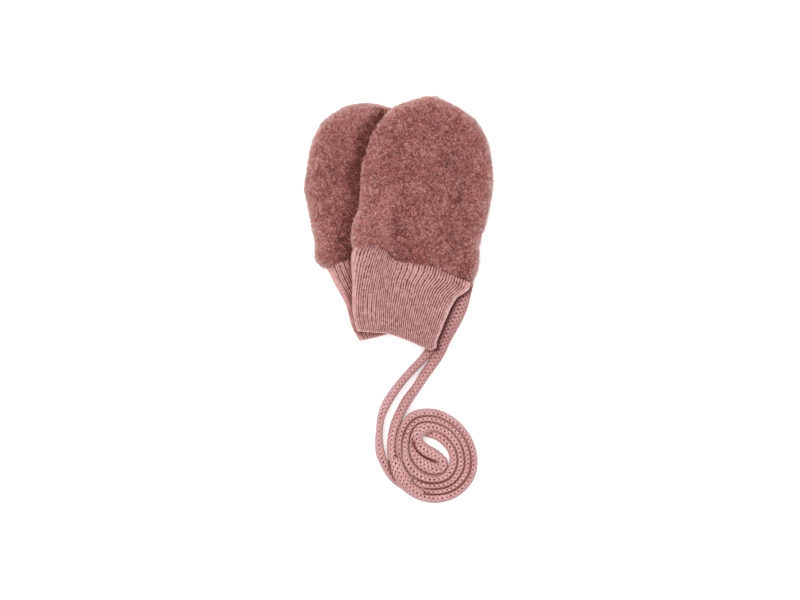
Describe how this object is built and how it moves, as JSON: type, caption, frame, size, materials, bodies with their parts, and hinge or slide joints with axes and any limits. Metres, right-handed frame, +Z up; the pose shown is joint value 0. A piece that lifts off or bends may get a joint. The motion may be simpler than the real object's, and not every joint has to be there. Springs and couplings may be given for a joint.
{
  "type": "pair of baby mittens on a cord",
  "caption": "Thumbless fleece baby mittens with ribbed knit cuffs, laid flat and overlapping, joined by a knitted cord whose doubled middle is rolled into a flat coil.",
  "frame": {"origin": "bottom centre of the two mittens' box, on the surface they lie on, leaving out the cord", "axes": "+Z up off the surface, +Y towards the fingertips, +X towards the front mitten's free side"},
  "size_m": [0.1135, 0.2445, 0.0213],
  "materials": {
    "fleece": "brushed wool fleece, dusty rose with darker and lighter flecks, short soft nap",
    "rib_knit": "fine rib knit, pale dusty rose, matt",
    "cord_knit": "machine-knit tube cord, pale dusty rose, matt"
  },
  "bodies": {
    "root": {"rear_hand_palm": "fleece", "rear_hand_back": "fleece", "rear_cuff": "rib_knit", "front_hand_palm": "fleece", "front_hand_back": "fleece", "front_cuff": "rib_knit", "cord_front_strand": "cord_knit", "cord_rear_strand": "cord_knit", "cord_coil": "cord_knit"}
  },
  "joints": []
}
